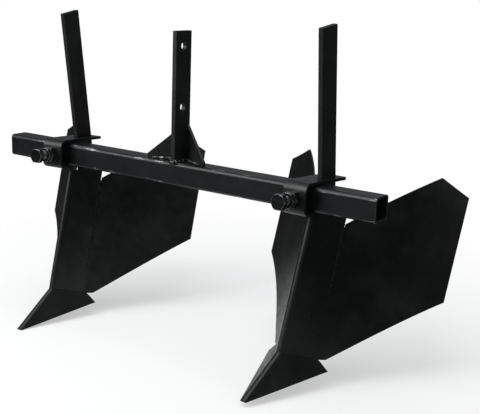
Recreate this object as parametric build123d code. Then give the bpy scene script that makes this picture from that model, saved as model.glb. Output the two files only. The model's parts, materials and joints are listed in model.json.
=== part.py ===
from build123d import *
import math
import os

os.makedirs("parts", exist_ok=True)

# Walk behind double ridger. Millimetres. X runs along the toolbar, +Y to the rear
# (the tool is pulled towards -Y), +Z up along the hitch bar. The origin is midway
# between the two hitch holes, in the middle of the hitch bar.

# Toolbar
tube_size = 40.0
tube_wall = 3.0
tube_corner = 6.0
toolbar_length = 783.0
hitch_offset = 6.0

# Hitch bar and its gussets
flat_width = 40.0
flat_thickness = 8.0
hitch_height = 220.0
hitch_hole_radius = 7.0
hitch_hole_spacing = 102.0
hitch_hole_margin = 25.0
gusset_height = 66.0
gusset_reach = 54.0
gusset_sweep = 27.0
gusset_thickness = 4.5
gusset_nose = 8.0
hitch_weld = 5.0

# Clamp that carries each row on the toolbar
clamp_plate = 5.0
clamp_width = 42.0
clamp_slack = 2.8
clamp_inside_radius = 8.0
clamp_front = 22.2
clamp_length = 115.0
clamp_side_offset = 5.0
slot_clearance = 0.6
bolt_diameter = 16.0
bolt_hole_clearance = 0.5
bolt_length = 58.0
bolt_head_height = 10.0
bolt_hex = 24.0
thread_clearance = 0.06
clamp_nut_height = 13.0
jam_nut_height = 8.0
jam_nut_gap = 0.3
bolt_seat_gap = 0.05
hex_chamfer = 1.6

# Row body, measured along its own shank: y to the rear from the shank's front
# edge, z up the shank from the height of the toolbar's top face
shank_top = 243.8
shank_bottom = -190.0
shank_toolbar_gap = 2.95
shin_top = (-26.3, -44.3)
shin_foot = (-116.6, -251.6)
shin_radius = 8.0
breast_rear_top = (24.1, -55.8)
breast_rear_foot = (-69.1, -271.9)
seam_half_width = 36.7
breast_plate = 4.0
share_point = (-210.0, -290.7)
share_notch = (-64.6, -277.2)
share_heel_drop = 16.5
share_heel_back = 2.8
share_half_width = 58.8
share_radius = 7.0
share_plate = 5.0

# Wings: sheet that starts at the seam and curls outwards over its chord.
# Outline corners are (distance out from the seam, distance down along it).
wing_plate = 3.0
wing_chord = 192.0
wing_chord_angle = 45.9
wing_sag_top = 22.0
wing_sag_foot = 3.0
wing_sag_top_at = -60.0
wing_sag_foot_at = 285.0
wing_root_gap = 1.2
wing_outline = [
    (-2.0, 59.0), (146.7, -50.4), (192.2, -27.7), (191.5, 147.5), (20.0, 277.5), (-2.0, 281.0),
]
seam_radius = 4.0
seam_proud = 0.5
plug_radius = 2.3
plug_proud = 0.6
plug_inset = 24.0
plug_down = 208.0
web_plate = 6.0
web_top = (-27.0, -50.5)
web_shank_top = -52.0
web_foot = (-112.0, -236.0)
web_foot_rear = -60.0
frog_plate = 6.0
frog_level = -176.0
stay_radius = 6.0
stay_level = -120.0

# Where each row stands and how far it leans in its loose clamp:
# (name, distance from the hitch, lean, roll, yaw, extra drop, clamp droop)
row_table = [
    ("right", 264.6, 8.65, 2.48, -2.57, 0.0, 2.65),
    ("left", -265.8, 9.35, 0.63, 4.54, 6.2, 3.0),
]
# The wing on a row's side away from the hitch is its outer wing
outer_side = {"right": 1.0, "left": -1.0}

toolbar_top = -(hitch_height - hitch_hole_margin - hitch_hole_spacing / 2)
toolbar_mid = toolbar_top - tube_size / 2
half_tube = tube_size / 2
clamp_inside_height = tube_size + clamp_slack
share_heel = (share_notch[0] + share_heel_back, share_notch[1] - share_heel_drop)
# Longer than any piece, for the blocks that pieces are trimmed with
beyond = 1000.0
# Length that a folded blank runs on past both its ends before it is trimmed
fold_run_out = 160.0


def save(name, shape):
    shape.label = name
    export_step(shape, f"parts/{name}.step")


def prism_x(points, half_width):
    """Straight-sided block across X whose side view is the given (y, z) outline."""
    outline = make_face(Polyline([(0.0, y, z) for y, z in points], close=True))
    return extrude(outline, amount=half_width, dir=(1, 0, 0), both=True)


def middle_piece(shape, point):
    """The one solid of a cut shape that lies nearest to the given point."""
    return min(shape.solids(), key=lambda piece: piece.distance_to(Vertex(*point)))


def largest_piece(shape):
    return shape.solids().sort_by(SortBy.VOLUME)[-1]


def hexagon(across_flats, height):
    """Hexagonal prism along Z with its outer corners taken off by a cone."""
    across_corners = across_flats / math.cos(math.pi / 6)
    body = extrude(RegularPolygon(across_corners / 2, 6), amount=height)
    rim = Cylinder(
        across_corners / 2, height, align=(Align.CENTER, Align.CENTER, Align.MIN)
    )
    rim = chamfer(rim.edges().filter_by(GeomType.CIRCLE), hex_chamfer)
    return body & rim


# The tube, the flat hitch bar standing on it and two triangular gussets that
# start at the bar's rear edge and sweep forwards along the tube's top
def make_toolbar():
    """Square tube with rounded corners and open ends."""
    outside = RectangleRounded(tube_size, tube_size, tube_corner)
    inside = RectangleRounded(
        tube_size - 2 * tube_wall, tube_size - 2 * tube_wall, tube_corner - tube_wall
    )
    section = Plane.YZ * (outside - inside)
    tube = extrude(section, amount=toolbar_length / 2, both=True)
    return Pos(-hitch_offset, 0, toolbar_mid) * tube


def make_hitch_bar():
    """Flat bar on edge with its two hitch holes."""
    bar = Pos(0, 0, toolbar_top + hitch_height / 2) * Box(
        flat_thickness, flat_width, hitch_height
    )
    hole = Rot(0, 90, 0) * Cylinder(hitch_hole_radius, 3 * flat_thickness)
    for level in (-hitch_hole_spacing / 2, hitch_hole_spacing / 2):
        bar = bar - Pos(0, 0, level) * hole
    return bar


def make_gusset(side):
    """Triangular plate from the bar's rear edge, swept forwards along the tube."""
    angle = math.degrees(math.atan2(gusset_sweep, gusset_reach))
    foot = math.hypot(gusset_sweep, gusset_reach) + flat_thickness
    plate = extrude(
        make_face(
            Polyline(
                [
                    (-10, 0, 0),
                    (foot, 0, 0),
                    (foot, 0, gusset_nose),
                    (0, 0, gusset_height),
                    (-10, 0, gusset_height),
                ],
                close=True,
            )
        ),
        amount=gusset_thickness / 2,
        both=True,
    )
    rear = flat_width / 2 - gusset_thickness / 2
    plate = Pos(0, rear, toolbar_top) * Rot(0, 0, -angle) * plate
    beside_bar = Pos(flat_thickness / 2 + beyond / 2, 0, 0) * Box(beyond, beyond, beyond)
    plate = middle_piece(plate & beside_bar, (30, 0, toolbar_top + 10))
    return plate if side > 0 else mirror(plate, Plane.YZ)


def make_hitch_welds(blockers):
    """Fillet beads round the bar's foot and along the gussets, one solid per run."""
    runs = []
    rod = Rot(90, 0, 0) * Cylinder(hitch_weld, flat_width - 4)
    for side in (-1, 1):
        x = side * flat_thickness / 2
        runs.append((Pos(x, -2, toolbar_top) * rod, (side * 9, -18, toolbar_top)))
    front = Pos(0, -half_tube + 1, toolbar_top) * Rot(0, 90, 0) * Cylinder(
        hitch_weld - 1, flat_thickness
    )
    runs.append((front, (0, -half_tube - 3, toolbar_top)))
    angle = math.degrees(math.atan2(gusset_sweep, gusset_reach))
    foot = math.hypot(gusset_sweep, gusset_reach)
    rear = flat_width / 2 - gusset_thickness / 2
    for side in (-1, 1):
        line = Pos(0, rear, toolbar_top) * Rot(0, 0, -angle) * Pos(
            foot / 2 + 6, -gusset_thickness / 2, 0
        )
        bead = line * (Rot(0, 90, 0) * Cylinder(hitch_weld - 1, foot - 14))
        seat = line * Pos(0, -3, 1)
        if side < 0:
            bead = mirror(bead, Plane.YZ)
        at = (side * seat.position.X, seat.position.Y, seat.position.Z)
        runs.append((bead, at))
    beads = []
    for bead, at in runs:
        for blocker in blockers:
            bead = bead - blocker
        for earlier in beads:
            bead = bead - earlier
        beads.append(middle_piece(bead, at))
    return beads


# Clamp frame: y to the rear from the toolbar's front face, z from its middle
def make_clamp(shank_void):
    """U of bent plate, open to the rear, with a bolt hole and slots for the shank."""
    outside_height = clamp_inside_height + 2 * clamp_plate
    outside_radius = clamp_inside_radius + clamp_plate
    rear = clamp_length - clamp_front
    block = Pos(0, (rear - clamp_front) / 2, 0) * Box(
        clamp_width, clamp_length, outside_height
    )
    front_edges = block.edges().filter_by(Axis.X).group_by(Axis.Y)[0]
    block = fillet(front_edges, outside_radius)
    hollow_length = clamp_length
    hollow = Pos(0, hollow_length / 2 - clamp_front + clamp_plate, 0) * Box(
        2 * clamp_width, hollow_length, clamp_inside_height
    )
    hollow_edges = hollow.edges().filter_by(Axis.X).group_by(Axis.Y)[0]
    hollow = fillet(hollow_edges, clamp_inside_radius)
    hole = Pos(0, -clamp_front, 0) * Rot(90, 0, 0) * Cylinder(
        bolt_diameter / 2 + bolt_hole_clearance, 4 * clamp_plate
    )
    return block - hollow - hole - shank_void


def make_set_bolt():
    """Bolt along -Y: rounded point at the toolbar, hexagon head in front."""
    shaft = Rot(90, 0, 0) * Cylinder(
        bolt_diameter / 2, bolt_length, align=(Align.CENTER, Align.CENTER, Align.MIN)
    )
    point = shaft.edges().filter_by(GeomType.CIRCLE).group_by(Axis.Y)[-1]
    shaft = chamfer(point, 1.5)
    head = Pos(0, -bolt_length, 0) * Rot(90, 0, 0) * hexagon(bolt_hex, bolt_head_height)
    return shaft + head


def make_nut(height):
    """Hexagon nut along -Y with its rear face at the origin and a running bore."""
    body = Rot(90, 0, 0) * hexagon(bolt_hex, height)
    bore = Rot(90, 0, 0) * Cylinder(bolt_diameter / 2 + thread_clearance, 4 * height)
    return body - bore


# Folded plates: a V section with a rounded front edge, swept along its fold
def fold_angle(reach, depth, radius):
    """Slope of a flank that leaves a front arc and passes through (reach, depth)."""
    across = depth - radius
    return math.acos(radius / math.hypot(reach, across)) - math.atan2(across, reach)


def folded_plate(top, foot, reach, depth, radius, plate, extra):
    """V plate whose rounded front edge runs from top to foot in the middle plane."""
    run = Vector(0, foot[0] - top[0], foot[1] - top[1])
    along = run.normalized()
    slope = fold_angle(reach, depth, radius)
    touch_x = radius * math.cos(slope)
    touch_d = radius - radius * math.sin(slope)
    inner = radius - plate
    inner_x = inner * math.cos(slope)
    inner_d = radius - inner * math.sin(slope)
    back_x = reach - plate * math.cos(slope)
    back_d = depth + plate * math.sin(slope)
    outer_arc = ThreePointArc((-touch_x, touch_d), (0, 0), (touch_x, touch_d))
    inner_arc = ThreePointArc((-inner_x, inner_d), (0, plate), (inner_x, inner_d))
    sides = [
        Line((touch_x, touch_d), (reach, depth)),
        Line((reach, depth), (back_x, back_d)),
        Line((back_x, back_d), (inner_x, inner_d)),
        Line((-inner_x, inner_d), (-back_x, back_d)),
        Line((-back_x, back_d), (-reach, depth)),
        Line((-reach, depth), (-touch_x, touch_d)),
    ]
    section = make_face(Curve() + [outer_arc, inner_arc] + sides)
    start = Vector(0, top[0], top[1]) - along * extra
    frame = Plane(origin=start, x_dir=(1, 0, 0), z_dir=along)
    # the section's depth must run to the rear, away from the fold
    if frame.y_dir.Y < 0:
        section = mirror(section, Plane.XZ)
    return extrude(frame * section, amount=run.length + 2 * extra)


def seam_frame():
    """Plane at the seam: its x runs out along the wing chord, its y down the seam."""
    run = Vector(
        0, breast_rear_foot[0] - breast_rear_top[0], breast_rear_foot[1] - breast_rear_top[1]
    )
    down = run.normalized()
    back = Vector(0, -down.Z, down.Y)
    angle = math.radians(wing_chord_angle)
    chord = Vector(math.sin(angle), 0, 0) + back * math.cos(angle)
    behind = chord.cross(down)
    if behind.Y < 0:
        behind = -behind
    # rear depth of the seam line, measured square to it from the shank's front edge
    depth = Vector(0, breast_rear_top[0], breast_rear_top[1]).dot(back)
    start = Vector(seam_half_width, 0, 0) + back * depth
    return start, chord, down, behind


def wing_point(out, down_by, depth):
    start, chord, down, behind = seam_frame()
    return start + chord * out + down * down_by + behind * depth


def make_wing():
    """Right-hand wing: sheet between two arcs, cut to its outline along its depth."""
    behind = seam_frame()[3]

    def arc_section(down_by, sag):
        middle = wing_chord / 2
        far = wing_chord + 12.0
        bend = 4 * sag / wing_chord**2

        def dip(out):
            return bend * out * (wing_chord - out)

        front = ThreePointArc(
            wing_point(wing_root_gap, down_by, dip(wing_root_gap)),
            wing_point(middle, down_by, dip(middle)),
            wing_point(far, down_by, dip(far)),
        )
        back = ThreePointArc(
            wing_point(wing_root_gap, down_by, dip(wing_root_gap) + wing_plate),
            wing_point(middle, down_by, dip(middle) + wing_plate),
            wing_point(far, down_by, dip(far) + wing_plate),
        )
        ends = [Line(front @ 0, back @ 0), Line(front @ 1, back @ 1)]
        return make_face(Curve() + [front, back] + ends)

    sheet = loft(
        [
            arc_section(wing_sag_top_at, wing_sag_top),
            arc_section(wing_sag_foot_at, wing_sag_foot),
        ],
        ruled=True,
    )
    outline = make_face(
        Polyline([tuple(wing_point(out, low, -60)) for out, low in wing_outline], close=True)
    )
    cutter = extrude(outline, amount=180, dir=tuple(behind))
    return middle_piece(sheet & cutter, tuple(wing_point(90, 80, 18)))


def breast_section():
    """Directions along and square to the shin, the depths of the fold and of the
    seam measured square to it, and the slope of the breast's flanks."""
    along = Vector(0, shin_foot[0] - shin_top[0], shin_foot[1] - shin_top[1]).normalized()
    square = Vector(0, -along.Z, along.Y)
    fold = Vector(0, shin_top[0], shin_top[1]).dot(square)
    seam = Vector(0, breast_rear_top[0], breast_rear_top[1]).dot(square)
    slope = fold_angle(seam_half_width, seam - fold, shin_radius)
    return along, square, fold, seam, slope


def make_breast():
    """Folded plate whose fold is the shin, cut square to the view from the side."""
    along, square, fold, seam, slope = breast_section()
    blank = folded_plate(
        shin_top, shin_foot, seam_half_width, seam - fold, shin_radius, breast_plate, fold_run_out
    )
    ahead = 40.0
    top_slope = (breast_rear_top[1] - shin_top[1]) / (breast_rear_top[0] - shin_top[0])
    foot_slope = (breast_rear_foot[1] - shin_foot[1]) / (breast_rear_foot[0] - shin_foot[0])
    keep = prism_x(
        [
            (shin_top[0] - ahead, shin_top[1] - ahead * top_slope),
            (breast_rear_top[0] + ahead, breast_rear_top[1] + ahead * top_slope),
            (breast_rear_foot[0] + ahead, breast_rear_foot[1] + ahead * foot_slope),
            (shin_foot[0] - ahead, shin_foot[1] - ahead * foot_slope),
        ],
        beyond,
    )
    return blank & keep


def make_share():
    """Folded blade below the breast, from a blunt point back to its two heels."""
    run = Vector(
        0, shin_foot[0] - share_point[0], shin_foot[1] - share_point[1]
    ).normalized()
    square = Vector(0, run.Z, -run.Y)
    heel = Vector(0, share_heel[0] - share_point[0], share_heel[1] - share_point[1])
    blank = folded_plate(
        shin_foot, share_point, share_half_width, heel.dot(square), share_radius,
        share_plate, fold_run_out,
    )
    ahead = 30.0
    foot_slope = (breast_rear_foot[1] - shin_foot[1]) / (breast_rear_foot[0] - shin_foot[0])
    keep = prism_x(
        [
            (share_point[0], share_heel[1]),
            (share_heel[0], share_heel[1]),
            share_notch,
            breast_rear_foot,
            (shin_foot[0] - ahead, shin_foot[1] - ahead * foot_slope),
            (share_point[0], shin_foot[1] + ahead),
        ],
        beyond,
    )
    return blank & keep


def make_web(breast, share):
    """Upright plate in the middle plane that ties the shin to the shank's front."""
    plate = make_face(
        Polyline(
            [
                (0, 0, web_shank_top),
                (0, 0, shank_bottom),
                (0, web_foot_rear, web_foot[1]),
                (0, *web_foot),
                (0, *web_top),
            ],
            close=True,
        )
    )
    plate = extrude(plate, amount=web_plate / 2, dir=(1, 0, 0), both=True)
    return largest_piece(plate - breast - share)


def make_frog(neighbours):
    """Level plate across the inside of the breast, in two halves beside the web."""
    along, square, fold, seam, slope = breast_section()
    tip = Vector(0, shin_top[0], shin_top[1]) + square * breast_plate
    reach = seam_half_width - breast_plate * math.cos(slope)
    depth = seam - fold + breast_plate * math.sin(slope) - breast_plate
    frame = Plane(origin=tip, x_dir=(1, 0, 0), z_dir=along)
    far = 1.0 if frame.y_dir.dot(square) > 0 else -1.0
    halves = []
    for side in (1, -1):
        corner = make_face(
            Polyline([(0, 0), (side * reach, far * depth), (0, far * depth)], close=True)
        )
        inside = extrude(frame * corner, amount=beyond)
        level = Pos(0, 0, frog_level) * Box(beyond, beyond, frog_plate)
        piece = inside & level
        for neighbour in neighbours:
            piece = piece - neighbour
        halves.append(largest_piece(piece))
    return halves


def make_stay(wings):
    """Round bar behind the shank from the back of one wing to the other."""
    bar = Pos(0, flat_width + stay_radius, stay_level) * Rot(0, 90, 0) * Cylinder(
        stay_radius, beyond
    )
    for wing in wings:
        bar = bar - wing
    return middle_piece(bar, (0, flat_width + stay_radius, stay_level))


def make_seam_weld(breast, wing, share):
    """Bead along the joint between the breast and a wing, its mass behind them."""
    start, chord, down, behind = seam_frame()
    front = (chord.cross(down)).normalized()
    if front.Y > 0:
        front = -front
    high = wing_point(0, wing_outline[0][1] + 3, 0) - front * (seam_radius - seam_proud)
    length = wing_outline[-1][1] - wing_outline[0][1] - 4
    frame = Plane(origin=high, x_dir=(1, 0, 0), z_dir=down)
    bead = extrude(frame * Circle(seam_radius), amount=length)
    bead = bead - breast - wing - share
    return largest_piece(bead)


def make_plug_weld():
    """Low round plug on the breast plate, in front of the frog's edge."""
    along, square, fold, seam, slope = breast_section()
    flank = Vector(math.sin(slope), 0, 0) + square * math.cos(slope)
    outward = Vector(math.cos(slope), 0, 0) - square * math.sin(slope)
    rear_edge = Vector(seam_half_width, 0, 0) + square * seam
    at = rear_edge - flank * plug_inset + along * plug_down
    frame = Plane(origin=at, x_dir=tuple(flank), z_dir=tuple(outward))
    plug = extrude(frame * Circle(plug_radius), amount=plug_proud)
    rim = plug.edges().filter_by(GeomType.CIRCLE).sort_by(
        lambda edge: (edge.center() - at).dot(outward)
    )[-1]
    return chamfer(rim, plug_proud * 0.6)


toolbar = make_toolbar()
hitch_bar = make_hitch_bar()
right_gusset = make_gusset(1)
left_gusset = make_gusset(-1)
hitch_welds = make_hitch_welds([toolbar, hitch_bar, right_gusset, left_gusset])

save("toolbar", toolbar)
save("hitch_bar", hitch_bar)
save("right_gusset", right_gusset)
save("left_gusset", left_gusset)
save("hitch_welds", Compound(children=hitch_welds))

shank_height = shank_top - shank_bottom
shank = Pos(0, flat_width / 2, (shank_top + shank_bottom) / 2) * Box(
    flat_thickness, flat_width, shank_height
)
breast = make_breast()
share = make_share()
wing = largest_piece(make_wing() - share)
other_wing = mirror(wing, Plane.YZ)
web = make_web(breast, share)
stay = make_stay([wing, other_wing])
seam_weld = make_seam_weld(breast, wing, share)
seam_welds = [seam_weld, mirror(seam_weld, Plane.YZ)]
frog = make_frog([breast, web, shank] + seam_welds)
plug = make_plug_weld()
plugs = [plug, mirror(plug, Plane.YZ)]

slot_half = (flat_thickness / 2 + slot_clearance, flat_width / 2 + slot_clearance)

for name, distance, lean, roll, yaw, drop, droop in row_table:
    pivot = Pos(distance, half_tube + shank_toolbar_gap, toolbar_mid)
    row_place = (
        pivot * Rot(0, 0, yaw) * Rot(0, roll, 0) * Rot(lean, 0, 0)
        * Pos(0, 0, half_tube - drop)
    )
    clamp_place = (
        pivot * Rot(0, 0, yaw) * Pos(-clamp_side_offset, -half_tube - shank_toolbar_gap, 0)
        * Rot(-droop, 0, 0) * Pos(0, -half_tube, 0)
    )
    slot = Pos(0, flat_width / 2, 0) * Box(2 * slot_half[0], 2 * slot_half[1], 2 * shank_height)
    slot_in_clamp = clamp_place.inverse() * row_place * slot
    clamp = make_clamp(slot_in_clamp)
    nut_front = -clamp_front - clamp_nut_height
    clamp_nut = Pos(0, -clamp_front, 0) * make_nut(clamp_nut_height)
    jam_nut = Pos(0, nut_front - jam_nut_gap, 0) * make_nut(jam_nut_height)
    set_bolt = clamp_place * Pos(0, 2, 0) * make_set_bolt()
    in_front = Pos(0, -half_tube - bolt_seat_gap - beyond / 2, toolbar_mid) * Box(
        2 * beyond, beyond, beyond
    )

    save(f"{name}_clamp", clamp_place * clamp)
    save(f"{name}_clamp_nut", clamp_place * clamp_nut)
    save(f"{name}_jam_nut", clamp_place * jam_nut)
    save(f"{name}_set_bolt", set_bolt & in_front)
    save(f"{name}_shank", row_place * shank)
    save(f"{name}_web", row_place * web)
    save(f"{name}_frog", Compound(children=[row_place * half for half in frog]))
    save(f"{name}_breast", row_place * breast)
    save(f"{name}_share", row_place * share)
    on_right = "outer" if outer_side[name] > 0 else "inner"
    on_left = "inner" if outer_side[name] > 0 else "outer"
    save(f"{name}_{on_right}_wing", row_place * wing)
    save(f"{name}_{on_left}_wing", row_place * other_wing)
    save(f"{name}_stay", row_place * stay)
    save(f"{name}_seam_welds", Compound(children=[row_place * bead for bead in seam_welds]))
    save(f"{name}_plug_welds", Compound(children=[row_place * bead for bead in plugs]))
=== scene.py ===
import json
import math
import bmesh
import bpy
import numpy as np
from mathutils import Matrix, Vector


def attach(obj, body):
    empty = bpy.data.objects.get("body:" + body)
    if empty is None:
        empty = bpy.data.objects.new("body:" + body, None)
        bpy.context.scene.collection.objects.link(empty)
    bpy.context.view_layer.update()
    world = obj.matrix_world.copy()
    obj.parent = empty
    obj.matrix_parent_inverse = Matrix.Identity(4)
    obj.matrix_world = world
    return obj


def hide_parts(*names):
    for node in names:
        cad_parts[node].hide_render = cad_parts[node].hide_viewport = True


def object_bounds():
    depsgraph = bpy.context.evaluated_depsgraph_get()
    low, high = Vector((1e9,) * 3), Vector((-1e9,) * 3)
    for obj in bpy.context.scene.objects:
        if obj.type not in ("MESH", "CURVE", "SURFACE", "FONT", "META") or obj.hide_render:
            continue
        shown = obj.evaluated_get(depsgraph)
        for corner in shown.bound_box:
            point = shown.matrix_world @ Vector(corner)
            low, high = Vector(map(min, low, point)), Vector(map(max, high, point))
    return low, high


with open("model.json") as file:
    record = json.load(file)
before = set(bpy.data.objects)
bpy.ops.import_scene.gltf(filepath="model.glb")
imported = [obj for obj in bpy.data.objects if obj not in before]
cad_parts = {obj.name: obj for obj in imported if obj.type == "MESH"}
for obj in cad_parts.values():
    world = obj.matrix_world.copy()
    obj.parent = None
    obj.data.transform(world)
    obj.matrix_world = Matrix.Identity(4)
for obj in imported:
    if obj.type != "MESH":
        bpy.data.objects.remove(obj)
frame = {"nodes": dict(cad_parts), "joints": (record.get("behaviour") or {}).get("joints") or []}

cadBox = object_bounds()
nodes = frame["nodes"]
mm = 0.001
mergeMm = 0.005  # corners this close are one corner
nearMm = 0.01  # levels this close are one level
print("frame loaded:", len(nodes), "nodes")


def hexColour(text):
    # sRGB hex to the linear values Blender works in
    channels = [int(text[i:i + 2], 16) / 255 for i in (1, 3, 5)]
    linear = [c / 12.92 if c <= 0.04045 else ((c + 0.055) / 1.055) ** 2.4 for c in channels]
    return (*linear, 1.0)


def addNode(tree, kind, settings=None, links=None):
    # one node, its own settings or socket values, and what feeds its inputs
    node = tree.nodes.new(kind)
    for name, value in (settings or {}).items():
        if hasattr(node, str(name)):
            setattr(node, name, value)
        else:
            node.inputs[name].default_value = value
    for name, source in (links or {}).items():
        tree.links.new(source, node.inputs[name])
    return node


def newMaterial(name):
    material = bpy.data.materials.new(name)
    material.use_nodes = True
    material.node_tree.nodes.clear()
    return material, material.node_tree


# Camera, at the photograph's place: azimuth to the right of straight ahead
cameraSettings = {
    "azimuth": 34.533,
    "elevation": 13.710,
    "roll": 1.994,
    "distance": 1.5518,
    "lookAt": (0.1439, -0.0200, -0.1963),
    "lens": 71.61,
    "sensor": 36,
    "shift": (-0.0022, -0.0014),
    "clipEnd": 50,
}


def makeCamera(settings):
    azimuth = math.radians(settings["azimuth"])
    elevation = math.radians(settings["elevation"])
    towards = Vector((
        math.sin(azimuth) * math.cos(elevation),
        -math.cos(azimuth) * math.cos(elevation),
        math.sin(elevation),
    ))
    data = bpy.data.cameras.new("photoCamera")
    data.lens = settings["lens"]
    data.sensor_width = settings["sensor"]
    data.shift_x, data.shift_y = settings["shift"]
    data.clip_end = settings["clipEnd"]
    camera = bpy.data.objects.new("photoCamera", data)
    bpy.context.scene.collection.objects.link(camera)
    turn = Matrix.Rotation(azimuth, 4, "Z")
    turn = turn @ Matrix.Rotation(math.pi / 2 - elevation, 4, "X")
    turn = turn @ Matrix.Rotation(math.radians(settings["roll"]), 4, "Z")
    place = Vector(settings["lookAt"]) + towards * settings["distance"]
    camera.matrix_world = Matrix.Translation(place) @ turn
    bpy.context.scene.camera = camera


makeCamera(cameraSettings)
print("camera placed")


# Light: a tall softbox to the front left and a soft light above. What the black paint
# mirrors is a dark room with four pale sides and a floor with painted pools of light, palest below
# the tool
lightSettings = {
    "softbox": {"at": (-1.40, -2.00, 1.30), "size": (1.8, 2.3), "power": 60},
    "top": {"at": (0.15, -0.45, 2.6), "size": (2.4, 2.4), "power": 34},
}
studio = {
    "lightsAimAt": (0.05, 0, -0.25),
    "background": "#ffffff",
    "roomColour": "#eef1f4",
    "fillLevel": 0.50,
    "roomDark": 0.035,
    "roomGlows": [
        {"towards": (-0.20, 0.75, 0.60), "from": 0.60, "to": 0.90, "add": 0.26},
        {"towards": (0.30, -0.95, 0.0), "from": 0.70, "to": 1.00, "add": 0.10},
        {"towards": (0.30, 0.10, 0.95), "from": 0.78, "to": 1.00, "add": 0.45},
        {"towards": (-0.35, -0.55, 0.76), "from": 0.60, "to": 0.95, "add": 0.70},
    ],
    "floorDark": 0.035,
    # painted pools of light on the floor, seen only by mirrored rays
    "floorPaintedPools": [
        {"at": (-0.05, 0.12, 0.0), "from": 0.95, "to": 0.12, "power": 1.8, "add": 0.96},
        {"at": (-0.45, -1.25, 0.0), "from": 1.40, "to": 0.20, "power": 1.2, "add": 0.14},
    ],
    "floorSeen": 0.92,
    "floorWhitened": 0.45,
    "fadeFrom": 0.45,
    "fadeTo": 1.00,
    "floorReach": 12.0,
}


def makeLight(name, settings, aimAt):
    data = bpy.data.lights.new(name, "AREA")
    data.shape = "RECTANGLE"
    data.size, data.size_y = settings["size"]
    data.energy = settings["power"]
    light = bpy.data.objects.new(name, data)
    bpy.context.scene.collection.objects.link(light)
    place = Vector(settings["at"])
    turn = (Vector(aimAt) - place).to_track_quat("-Z", "Y")
    light.matrix_world = Matrix.Translation(place) @ turn.to_matrix().to_4x4()


def roomLevel(tree, direction, settings):
    # how bright the room is in each direction that the paint mirrors
    level = addNode(tree, "ShaderNodeValue").outputs[0]
    level.default_value = settings["roomDark"]
    for glow in settings["roomGlows"]:
        along = addNode(tree, "ShaderNodeVectorMath",
                        {"operation": "DOT_PRODUCT", 1: glow["towards"]}, {0: direction})
        rise = addNode(tree, "ShaderNodeMapRange",
                       {"From Min": glow["from"], "From Max": glow["to"], "To Max": glow["add"]},
                       {"Value": along.outputs["Value"]})
        level = addNode(tree, "ShaderNodeMath", {"operation": "ADD"},
                        {0: rise.outputs[0], 1: level}).outputs[0]
    return level


def paintedFloorLevel(tree, where, settings):
    # painted light: as mirrored rays see it, the floor is painted palest below the tool, with a
    # second painted pool of light below the softbox
    level = addNode(tree, "ShaderNodeValue").outputs[0]
    level.default_value = settings["floorDark"]
    for glow in settings["floorPaintedPools"]:
        distance = addNode(tree, "ShaderNodeVectorMath",
                           {"operation": "DISTANCE", 1: glow["at"]}, {0: where})
        rise = addNode(tree, "ShaderNodeMapRange",
                       {"From Min": glow["from"], "From Max": glow["to"]},
                       {"Value": distance.outputs["Value"]})
        curve = addNode(tree, "ShaderNodeMath", {"operation": "POWER", 1: glow["power"]},
                        {0: rise.outputs[0]})
        level = addNode(tree, "ShaderNodeMath", {"operation": "MULTIPLY_ADD", 1: glow["add"]},
                        {0: curve.outputs[0], 2: level}).outputs[0]
    return level


def makeWorld(settings):
    # the camera sees the background, mirrored rays the uneven room, all others a plain fill
    world = bpy.data.worlds.new("studio")
    world.use_nodes = True
    tree = world.node_tree
    tree.nodes.clear()
    path = addNode(tree, "ShaderNodeLightPath")
    direction = addNode(tree, "ShaderNodeTexCoord").outputs["Generated"]
    mirrored = roomLevel(tree, direction, settings)
    clear = addNode(tree, "ShaderNodeMath", {"operation": "MAXIMUM"},
                    {0: path.outputs["Is Camera Ray"], 1: path.outputs["Is Transmission Ray"]})
    level = addNode(tree, "ShaderNodeMix", {"data_type": "FLOAT", 2: settings["fillLevel"]},
                    {0: path.outputs["Is Glossy Ray"], 3: mirrored})
    room = addNode(tree, "ShaderNodeBackground", {"Color": hexColour(settings["roomColour"])},
                   {"Strength": level.outputs[0]})
    seen = addNode(tree, "ShaderNodeBackground",
                   {"Color": hexColour(settings["background"]), "Strength": 1.0})
    mix = addNode(tree, "ShaderNodeMixShader", None,
                  {0: clear.outputs[0], 1: room.outputs[0], 2: seen.outputs[0]})
    addNode(tree, "ShaderNodeOutputWorld", None, {"Surface": mix.outputs[0]})
    bpy.context.scene.world = world


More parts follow.
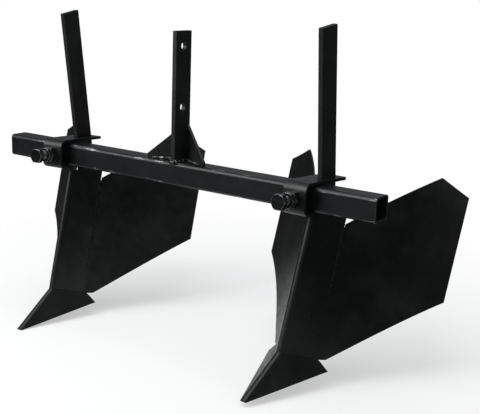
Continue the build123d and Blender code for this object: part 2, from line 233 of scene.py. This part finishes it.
def makeFloor(settings):
    # pale matt floor that keeps the shadow near the tool and runs out to white
    material, tree = newMaterial("paleFloor")
    path = addNode(tree, "ShaderNodeLightPath")
    where = addNode(tree, "ShaderNodeTexCoord").outputs["Object"]
    # mirrored rays see the floor with its painted pools of light, all other rays a plain level
    mirrored = paintedFloorLevel(tree, where, settings)
    level = addNode(tree, "ShaderNodeMix", {"data_type": "FLOAT", 2: settings["floorSeen"]},
                    {0: path.outputs["Is Glossy Ray"], 3: mirrored})
    colour = addNode(tree, "ShaderNodeCombineColor", None,
                     {k: level.outputs[0] for k in ("Red", "Green", "Blue")})
    skin = addNode(tree, "ShaderNodeBsdfDiffuse", None, {"Color": colour.outputs[0]})
    white = addNode(tree, "ShaderNodeEmission", {"Color": hexColour(settings["background"])})
    distance = addNode(tree, "ShaderNodeVectorMath", {"operation": "LENGTH"}, {0: where})
    fade = addNode(tree, "ShaderNodeMapRange",
                   {"From Min": settings["fadeFrom"], "From Max": settings["fadeTo"],
                    "To Min": settings["floorWhitened"], "To Max": 1.0},
                   {"Value": distance.outputs["Value"]})
    seen = addNode(tree, "ShaderNodeMath", {"operation": "MULTIPLY"},
                   {0: fade.outputs[0], 1: path.outputs["Is Camera Ray"]})
    mix = addNode(tree, "ShaderNodeMixShader", None,
                  {0: seen.outputs[0], 1: skin.outputs[0], 2: white.outputs[0]})
    addNode(tree, "ShaderNodeOutputMaterial", None, {"Surface": mix.outputs[0]})
    mesh = bpy.data.meshes.new("floor")
    reach = settings["floorReach"]
    mesh.from_pydata(
        [(-reach, -reach, 0), (reach, -reach, 0), (reach, reach, 0), (-reach, reach, 0)],
        [], [(0, 1, 2, 3)])
    mesh.materials.append(material)
    floor = bpy.data.objects.new("floor", mesh)
    floor.location = (0, 0, cadBox[0].z)
    bpy.context.scene.collection.objects.link(floor)


for name, settings in lightSettings.items():
    makeLight(name, settings, studio["lightsAimAt"])
makeWorld(studio)
makeFloor(studio)
bpy.context.scene.view_settings.view_transform = "Standard"
print("studio lit")


# Black alkyd enamel, sprayed in one coat on mill-finish steel: near black with a satin
# skin, faint orange peel, dull drifts where the coat is thin and rubbed bright edges.
# First what every finish starts from, then each finish with its own values
sharedEnamel = {
    "driftsPerWave": 1.3, "gritPerPeel": 5, "thinAt": (0.42, 0.68), "glossAt": (0.35, 0.65),
    "edgeTurn": (0.985, 0.82), "rubbed": (0.40, 0.62), "bareFrom": 1.0, "bareWidth": 0.05,
    "bevelSamples": 4, "ior": 1.5, "specular": 0.42,
}
enamelSettings = {
    "tube": {"body": "#090c0d", "thin": "#0f1315", "roughness": (0.31, 0.37), "wavesMm": 70,
             "waveHeight": 0.10, "peelMm": 3.0, "peelHeight": 0.007, "edgeMm": 1.0,
             "edge": "#a4a8aa",
             "scrapes": {"middle": (0.0, 0.0, -0.164), "cornerMm": (14, 18), "sizeMm": 7,
                         "stretch": 0.14, "from": 0.57, "to": 0.64}},
    "bar": {"body": "#141716", "thin": "#1c201f", "roughness": (0.34, 0.48), "wavesMm": 55,
            "waveHeight": 0.08, "peelMm": 2.4, "peelHeight": 0.018, "edgeMm": 0.8,
            "edge": "#25282a"},
    "clamp": {"body": "#0d0f10", "thin": "#151818", "roughness": (0.32, 0.42), "wavesMm": 40,
              "waveHeight": 0.06, "peelMm": 2.4, "peelHeight": 0.014, "edgeMm": 0.8,
              "edge": "#2c3033"},
    "plate": {"body": "#090c0b", "thin": "#181c1a", "roughness": (0.31, 0.42), "wavesMm": 85,
              "waveHeight": 0.30, "peelMm": 2.6, "peelHeight": 0.008, "edgeMm": 0.8,
              "edge": "#25282a"},
    "fastener": {"body": "#090a0a", "thin": "#121414", "roughness": (0.14, 0.22), "wavesMm": 9,
                 "waveHeight": 0.02, "peelMm": 1.4, "peelHeight": 0.006, "edgeMm": 0.8,
                 "edge": "#e2e5e6", "rubbed": (0.15, 0.35), "bareFrom": 0.70},
    "tack": {"body": "#0b0c0c", "thin": "#141616", "roughness": (0.18, 0.30), "wavesMm": 5,
             "waveHeight": 0.08, "peelMm": 1.0, "peelHeight": 0.03, "edgeMm": 0.5,
             "edge": "#a8acad", "bareFrom": 0.57},
    "weld": {"body": "#0b0c0c", "thin": "#141616", "roughness": (0.20, 0.36), "wavesMm": 6,
             "waveHeight": 0.08, "peelMm": 1.0, "peelHeight": 0.04, "edgeMm": 0.5,
             "edge": "#2c3033"},
}


def cornerScrapes(tree, where, settings):
    # long thin scrapes down to bright steel, only along the corners of the tube
    offset = addNode(tree, "ShaderNodeVectorMath",
                     {"operation": "SUBTRACT", 1: settings["middle"]}, {0: where})
    apart = addNode(tree, "ShaderNodeVectorMath", {"operation": "ABSOLUTE"}, {0: offset.outputs[0]})
    axes = addNode(tree, "ShaderNodeSeparateXYZ", None, {0: apart.outputs[0]})
    nearer = addNode(tree, "ShaderNodeMath", {"operation": "MINIMUM"},
                     {0: axes.outputs[1], 1: axes.outputs[2]})
    low, high = settings["cornerMm"]
    corner = addNode(tree, "ShaderNodeMapRange", {"From Min": low * mm, "From Max": high * mm},
                     {"Value": nearer.outputs[0]})
    drawnOut = addNode(tree, "ShaderNodeVectorMath",
                       {"operation": "MULTIPLY", 1: (settings["stretch"], 1, 1)}, {0: where})
    noise = addNode(tree, "ShaderNodeTexNoise",
                    {"Scale": 1 / (settings["sizeMm"] * mm), "Detail": 4, "Roughness": 0.65},
                    {"Vector": drawnOut.outputs[0]})
    scrape = addNode(tree, "ShaderNodeMapRange",
                     {"From Min": settings["from"], "From Max": settings["to"]},
                     {"Value": noise.outputs["Fac"]})
    return addNode(tree, "ShaderNodeMath", {"operation": "MULTIPLY"},
                   {0: corner.outputs[0], 1: scrape.outputs[0]}).outputs[0]


def blackEnamel(name, settings):
    # the coat over its steel: drifts of thin paint, wear down to metal, peel and waves
    material, tree = newMaterial(name)
    where = addNode(tree, "ShaderNodeTexCoord").outputs["Object"]

    def noise(sizeMm, detail, roughness):
        return addNode(tree, "ShaderNodeTexNoise",
                       {"Scale": 1 / (sizeMm * mm), "Detail": detail, "Roughness": roughness},
                       {"Vector": where}).outputs["Fac"]

    def between(value, limits, reach=(0.0, 1.0)):
        return addNode(tree, "ShaderNodeMapRange",
                       {"From Min": limits[0], "From Max": limits[1],
                        "To Min": reach[0], "To Max": reach[1]},
                       {"Value": value}).outputs[0]

    drifts = noise(settings["wavesMm"] * settings["driftsPerWave"], detail=4, roughness=0.6)
    grit = noise(settings["peelMm"] * settings["gritPerPeel"], detail=3, roughness=0.6)
    peel = noise(settings["peelMm"], detail=2, roughness=0.5)
    waves = noise(settings["wavesMm"], detail=2, roughness=0.4)
    coat = addNode(tree, "ShaderNodeMix",
                   {"data_type": "RGBA", 6: hexColour(settings["body"]),
                    7: hexColour(settings["thin"])},
                   {0: between(drifts, settings["thinAt"])})
    # the rounded normal departs from the flat one only beside an edge
    rounded = addNode(tree, "ShaderNodeBevel",
                      {"samples": settings["bevelSamples"], "Radius": settings["edgeMm"] * mm})
    flat = addNode(tree, "ShaderNodeNewGeometry").outputs["True Normal"]
    turn = addNode(tree, "ShaderNodeVectorMath", {"operation": "DOT_PRODUCT"},
                   {0: rounded.outputs[0], 1: flat})
    rubbed = addNode(tree, "ShaderNodeMath", {"operation": "MULTIPLY"},
                     {0: between(turn.outputs["Value"], settings["edgeTurn"]),
                      1: between(grit, settings["rubbed"])})
    bareTo = settings["bareFrom"] + settings["bareWidth"]
    worn = addNode(tree, "ShaderNodeMath", {"operation": "MAXIMUM"},
                   {0: rubbed.outputs[0], 1: between(drifts, (settings["bareFrom"], bareTo))})
    if "scrapes" in settings:
        scraped = cornerScrapes(tree, where, settings["scrapes"])
        worn = addNode(tree, "ShaderNodeMath", {"operation": "MAXIMUM"},
                       {0: worn.outputs[0], 1: scraped})
    colour = addNode(tree, "ShaderNodeMix",
                     {"data_type": "RGBA", 7: hexColour(settings["edge"])},
                     {0: worn.outputs[0], 6: coat.outputs[2]})
    wavy = addNode(tree, "ShaderNodeBump",
                   {"Strength": 1.0, "Distance": settings["waveHeight"] * mm},
                   {"Height": waves, "Normal": rounded.outputs[0]})
    skin = addNode(tree, "ShaderNodeBump",
                   {"Strength": 1.0, "Distance": settings["peelHeight"] * mm},
                   {"Height": peel, "Normal": wavy.outputs[0]})
    shader = addNode(tree, "ShaderNodeBsdfPrincipled",
                     {"IOR": settings["ior"], "Specular IOR Level": settings["specular"]},
                     {"Base Color": colour.outputs[2], "Metallic": worn.outputs[0],
                      "Roughness": between(grit, settings["glossAt"], settings["roughness"]),
                      "Normal": skin.outputs[0]})
    addNode(tree, "ShaderNodeOutputMaterial", None, {"Surface": shader.outputs[0]})
    return material


enamel = {
    name: blackEnamel("blackEnamel_" + name, {**sharedEnamel, **settings})
    for name, settings in enamelSettings.items()
}
print("enamel made")


# Shapes worked out from the CAD nodes: what is built on them follows their places
def looseParts(node):
    # the node's separate solids, as arrays of their corners
    work = bmesh.new()
    work.from_mesh(nodes[node].data)
    bmesh.ops.remove_doubles(work, verts=work.verts, dist=mergeMm * mm)
    parts = []
    left = set(work.verts)
    while left:
        queue = [left.pop()]
        part = []
        while queue:
            vert = queue.pop()
            part.append(tuple(vert.co))
            near = {edge.other_vert(vert) for edge in vert.link_edges} & left
            left -= near
            queue.extend(near)
        parts.append(np.array(sorted(part)))
    work.free()
    return sorted(parts, key=lambda part: tuple(part[0]))


def longAxis(points):
    # a solid's two ends: the middle line of its corners, out to its furthest ones
    middle = points.mean(axis=0)
    direction = np.linalg.svd(points - middle, full_matrices=False)[2][0]
    reach = (points - middle) @ direction
    return Vector(middle + direction * reach.min()), Vector(middle + direction * reach.max())


# Weld ripples: each run of bead is a row of overlapping puddles that froze one by one
puddleSettings = {
    "segments": 14, "rings": 8, "uneven": (0.88, 1.08), "lengthPerPitch": 0.95,
    "insetPerWidth": 0.6,
}
rippleSettings = {
    "frame": {"node": "hitch_welds", "body": "toolbar_frame", "finish": "tack",
              "pitchMm": 2.1, "widthMm": 2.5, "seed": 3},
    "right": {"node": "right_seam_welds", "body": "right_row", "finish": "weld",
              "pitchMm": 2.6, "widthMm": 3.3, "seed": 5},
    "left": {"node": "left_seam_welds", "body": "left_row", "finish": "weld",
             "pitchMm": 2.6, "widthMm": 3.3, "seed": 8},
}


def rippleTree(puddleShape):
    # a polyline goes in, puddles squashed along it come out
    tree = bpy.data.node_groups.new("weldRipples", "GeometryNodeTree")
    face = tree.interface
    face.new_socket("Run", in_out="INPUT", socket_type="NodeSocketGeometry")
    sockets = {}
    for name, kind in (("Pitch", "NodeSocketFloat"), ("Width", "NodeSocketFloat"),
                       ("Seed", "NodeSocketInt"), ("Paint", "NodeSocketMaterial")):
        sockets[name] = face.new_socket(name, in_out="INPUT", socket_type=kind).identifier
    face.new_socket("Beads", in_out="OUTPUT", socket_type="NodeSocketGeometry")
    given = addNode(tree, "NodeGroupInput")
    curve = addNode(tree, "GeometryNodeMeshToCurve", None, {"Mesh": given.outputs["Run"]})
    points = addNode(tree, "GeometryNodeResampleCurve", {"mode": "LENGTH"},
                     {"Curve": curve.outputs[0], "Length": given.outputs["Pitch"]})
    puddle = addNode(tree, "GeometryNodeMeshUVSphere",
                     {"Segments": puddleShape["segments"], "Rings": puddleShape["rings"],
                      "Radius": 1.0})
    tangent = addNode(tree, "GeometryNodeInputTangent")
    turn = addNode(tree, "FunctionNodeAlignRotationToVector", {"axis": "Z"},
                   {"Vector": tangent.outputs[0]})
    narrowest, widest = puddleShape["uneven"]
    uneven = addNode(tree, "FunctionNodeRandomValue",
                     {"data_type": "FLOAT", 2: narrowest, 3: widest},
                     {"Seed": given.outputs["Seed"]})
    width = addNode(tree, "ShaderNodeMath", {"operation": "MULTIPLY"},
                    {0: given.outputs["Width"], 1: uneven.outputs[1]})
    length = addNode(tree, "ShaderNodeMath",
                     {"operation": "MULTIPLY", 1: puddleShape["lengthPerPitch"]},
                     {0: given.outputs["Pitch"]})
    size = addNode(tree, "ShaderNodeCombineXYZ", None,
                   {"X": width.outputs[0], "Y": width.outputs[0], "Z": length.outputs[0]})
    placed = addNode(tree, "GeometryNodeInstanceOnPoints", None,
                     {"Points": points.outputs[0], "Instance": puddle.outputs[0],
                      "Rotation": turn.outputs[0], "Scale": size.outputs[0]})
    real = addNode(tree, "GeometryNodeRealizeInstances", None, {"Geometry": placed.outputs[0]})
    smooth = addNode(tree, "GeometryNodeSetShadeSmooth", None, {0: real.outputs[0]})
    painted = addNode(tree, "GeometryNodeSetMaterial", None,
                      {"Geometry": smooth.outputs[0], "Material": given.outputs["Paint"]})
    addNode(tree, "NodeGroupOutput", None, {"Beads": painted.outputs[0]})
    return tree, sockets


def addRipples(name, settings, tree, sockets):
    corners, edges = [], []
    for part in looseParts(settings["node"]):
        start, end = longAxis(part)
        direction = (end - start).normalized()
        inset = direction * settings["widthMm"] * puddleSettings["insetPerWidth"] * mm
        edges.append((len(corners), len(corners) + 1))
        corners += [start + inset, end - inset]
    line = bpy.data.meshes.new(name)
    line.from_pydata(corners, edges, [])
    holder = bpy.data.objects.new(name, line)
    bpy.context.scene.collection.objects.link(holder)
    modifier = holder.modifiers.new("ripples", "NODES")
    modifier.node_group = tree
    modifier[sockets["Pitch"]] = settings["pitchMm"] * mm
    modifier[sockets["Width"]] = settings["widthMm"] * mm
    modifier[sockets["Seed"]] = settings["seed"]
    modifier[sockets["Paint"]] = enamel[settings["finish"]]
    shown = holder.evaluated_get(bpy.context.evaluated_depsgraph_get())
    mesh = bpy.data.meshes.new_from_object(shown)
    bpy.data.objects.remove(holder)
    beads = bpy.data.objects.new(name, mesh)
    bpy.context.scene.collection.objects.link(beads)
    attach(beads, settings["body"])
    print(name, len(edges), "runs,", len(mesh.polygons), "faces")


rippleNodes, rippleSockets = rippleTree(puddleSettings)
for name, settings in rippleSettings.items():
    addRipples(name + "WeldRipples", settings, rippleNodes, rippleSockets)


# Set bolts: the CAD bolt's head, on a shaft that shows its rolled thread
boltSettings = {
    "radiusMm": 8.0, "pitchMm": 2.0, "depthMm": 0.95, "tipMm": 1.5, "clearMm": 0.05,
    "intoHeadMm": 0.5, "headFrom": 1.1, "perTurn": 40, "perPitch": 8,
}


def makeSetBolt(row, settings):
    # the head is kept from the CAD; the shaft below it is wound from rings of corners
    node = row + "_set_bolt"
    points = np.vstack(looseParts(node))
    joint = next(j for j in frame["joints"] if j["name"] == row + "_set_bolt_travel")
    axis = Vector(joint["axis"]).normalized()
    along = points @ np.array(axis)
    tip, headEnd = along.min(), along.max()
    middle = Vector(points[along > headEnd - nearMm * mm].mean(axis=0))
    centre = np.array(middle - axis * middle.dot(axis))
    radii = np.linalg.norm(points - np.outer(along, axis) - centre, axis=1)
    seat = along[radii > settings["radiusMm"] * settings["headFrom"] * mm].min()
    work = bmesh.new()
    work.from_mesh(nodes[node].data)
    bmesh.ops.remove_doubles(work, verts=work.verts, dist=mergeMm * mm)
    shaft = [v for v in work.verts if v.co.dot(axis) < seat - nearMm * mm]
    bmesh.ops.delete(work, geom=shaft, context="VERTS")
    for face in work.faces:
        face.smooth = False
    across = axis.orthogonal().normalized()
    upward = axis.cross(across)
    foot = middle + axis * (tip - middle.dot(axis))
    length = seat - tip + settings["intoHeadMm"] * mm
    pitch = settings["pitchMm"] * mm
    rows = math.ceil(length / pitch * settings["perPitch"])
    rings = []
    for i in range(rows + 1):
        up = length * i / rows
        ring = []
        for k in range(settings["perTurn"]):
            angle = 2 * math.pi * k / settings["perTurn"]
            turn = up / pitch - k / settings["perTurn"]
            groove = abs(2 * (turn % 1) - 1) * settings["depthMm"]
            taper = max(0, settings["tipMm"] - up / mm)
            radius = (settings["radiusMm"] - settings["clearMm"] - max(groove, taper)) * mm
            side = across * math.cos(angle) + upward * math.sin(angle)
            ring.append(work.verts.new(foot + axis * up + side * radius))
        rings.append(ring)
    for lower, upper in zip(rings, rings[1:]):
        for k in range(len(lower)):
            after = (k + 1) % len(lower)
            face = work.faces.new((lower[k], lower[after], upper[after], upper[k]))
            face.smooth = True
    work.faces.new(list(reversed(rings[0])))
    mesh = bpy.data.meshes.new(row + "SetBolt")
    work.to_mesh(mesh)
    work.free()
    mesh.materials.append(enamel["fastener"])
    bolt = bpy.data.objects.new(row + "SetBolt", mesh)
    bpy.context.scene.collection.objects.link(bolt)
    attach(bolt, row + "_set_bolt")
    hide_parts(node)
    print(row, "set bolt:", rows, "rings of thread")


for row in ("right", "left"):
    makeSetBolt(row, boltSettings)


# Which finish a node gets, by the end of its name: the first that fits
finishes = (
    ("toolbar", "tube"),
    (("shank", "hitch_bar", "gusset"), "bar"),
    ("_clamp", "clamp"),
    (("bolt", "nut"), "fastener"),
    ("hitch_welds", "tack"),
    ("welds", "weld"),
    ("", "plate"),
)


def finishOf(node):
    return next(finish for ending, finish in finishes if node.endswith(ending))


for name, piece in nodes.items():
    piece.data.materials.clear()
    piece.data.materials.append(enamel[finishOf(name)])
print("enamel on", len(nodes), "nodes")
